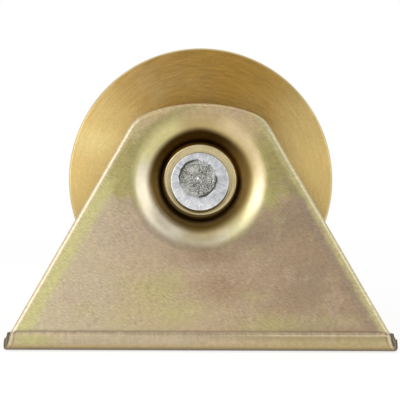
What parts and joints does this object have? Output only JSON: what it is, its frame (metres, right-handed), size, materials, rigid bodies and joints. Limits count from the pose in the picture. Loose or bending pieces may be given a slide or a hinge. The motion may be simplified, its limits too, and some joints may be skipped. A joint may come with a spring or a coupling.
{
  "type": "gate wheel",
  "caption": "Grooved steel wheel on a ball bearing in a folded and dished sheet-steel bracket, for a sliding gate that runs on an angle-iron track.",
  "frame": {"origin": "centre of the base's underside, on the face that is fixed to the gate", "axes": "+X along the bracket and the track, +Y along the axle from the front side to the side with the retaining ring, +Z from the base to the wheel's running edge"},
  "size_m": [0.1472, 0.05, 0.1131],
  "materials": {
    "bracket_sheet": "steel sheet, zinc plated and yellow passivated",
    "wheel_steel": "turned steel, zinc plated and yellow passivated",
    "washer_steel": "turned steel, zinc plated and yellow passivated",
    "pin_steel": "plain zinc-plated steel, rough at the riveted ends",
    "bearing_steel": "ground and polished bearing steel",
    "spring_steel": "phosphated spring steel",
    "thin_sheet": "plain pressed steel sheet"
  },
  "bodies": {
    "bracket": {"bracket": "bracket_sheet", "axle_pin": "pin_steel", "front_washer": "washer_steel", "rear_washer": "washer_steel", "front_spacer": "pin_steel", "rear_spacer": "pin_steel", "bearing_inner_ring": "bearing_steel"},
    "wheel": {"wheel": "wheel_steel", "bearing_outer_ring": "bearing_steel", "retaining_ring": "spring_steel", "front_shield": "thin_sheet", "rear_shield": "thin_sheet"},
    "cage": {"cage_front_half": "thin_sheet", "cage_rear_half": "thin_sheet", "cage_rivets": "thin_sheet", "ball_1": "bearing_steel", "ball_2": "bearing_steel", "ball_3": "bearing_steel", "ball_4": "bearing_steel", "ball_5": "bearing_steel", "ball_6": "bearing_steel", "ball_7": "bearing_steel", "ball_8": "bearing_steel"}
  },
  "joints": [
    {"name": "wheel_spin", "type": "hinge", "parent": "bracket", "child": "wheel", "pos_m": [0, 0, 0.0631], "axis": [0, 1, 0], "continuous": true},
    {"name": "cage_spin", "type": "hinge", "parent": "bracket", "child": "cage", "pos_m": [0, 0, 0.0631], "axis": [0, 1, 0], "continuous": true}
  ],
  "couplings": [
    {"joint": "cage_spin", "follows": "wheel_spin", "ratio": 0.61848}
  ]
}
